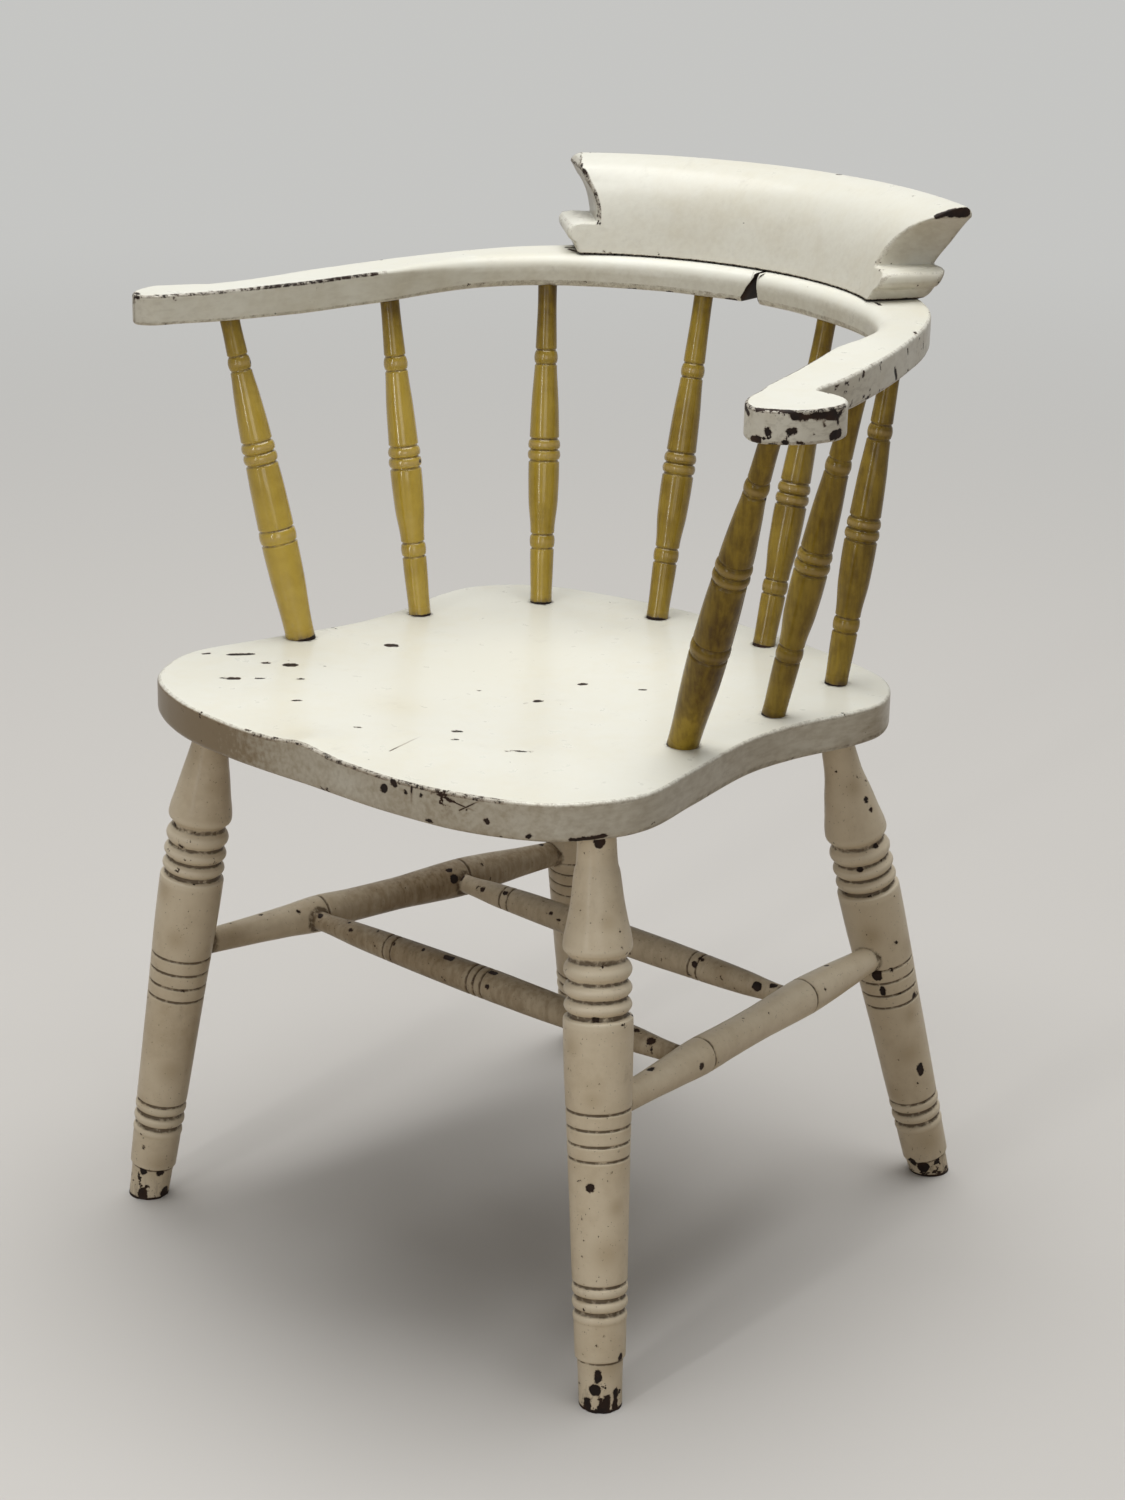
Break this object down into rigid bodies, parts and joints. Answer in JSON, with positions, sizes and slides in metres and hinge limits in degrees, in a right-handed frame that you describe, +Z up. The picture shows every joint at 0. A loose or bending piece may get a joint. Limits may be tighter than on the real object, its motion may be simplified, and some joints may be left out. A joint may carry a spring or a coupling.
{
  "type": "painted smoker's bow armchair",
  "caption": "Old wooden armchair with a bowed arm rail, low crest, turned spindles, shaped seat and stretchered legs in chipped cream and yellow paint.",
  "frame": {"origin": "on the floor under the middle of the chair's overall outline", "axes": "+Z up; the chair faces -Y; +X is the right side as seen by someone who faces the chair's front"},
  "size_m": [0.5948, 0.5775, 0.774],
  "materials": {
    "white_paint": "thick gloss paint, chipped to dark brown",
    "cream_paint": "dull aged paint, chipped and grimy",
    "yellow_paint": "mustard gloss paint, worn on the rings",
    "old_steel": "dull, rusted"
  },
  "bodies": {
    "root": {"seat": "white_paint", "leg_front_left": "cream_paint", "leg_front_right": "cream_paint", "leg_back_left": "cream_paint", "leg_back_right": "cream_paint", "stretcher_left": "cream_paint", "stretcher_right": "cream_paint", "stretcher_front_cross": "cream_paint", "stretcher_back_cross": "cream_paint", "post_left": "yellow_paint", "post_right": "yellow_paint", "spindle_left_front": "yellow_paint", "spindle_left_middle": "yellow_paint", "spindle_left_back": "yellow_paint", "spindle_right_front": "yellow_paint", "spindle_right_middle": "yellow_paint", "spindle_right_back": "yellow_paint", "arm_left": "white_paint", "arm_right": "white_paint", "crest": "white_paint", "crest_screws": "old_steel"}
  },
  "joints": []
}
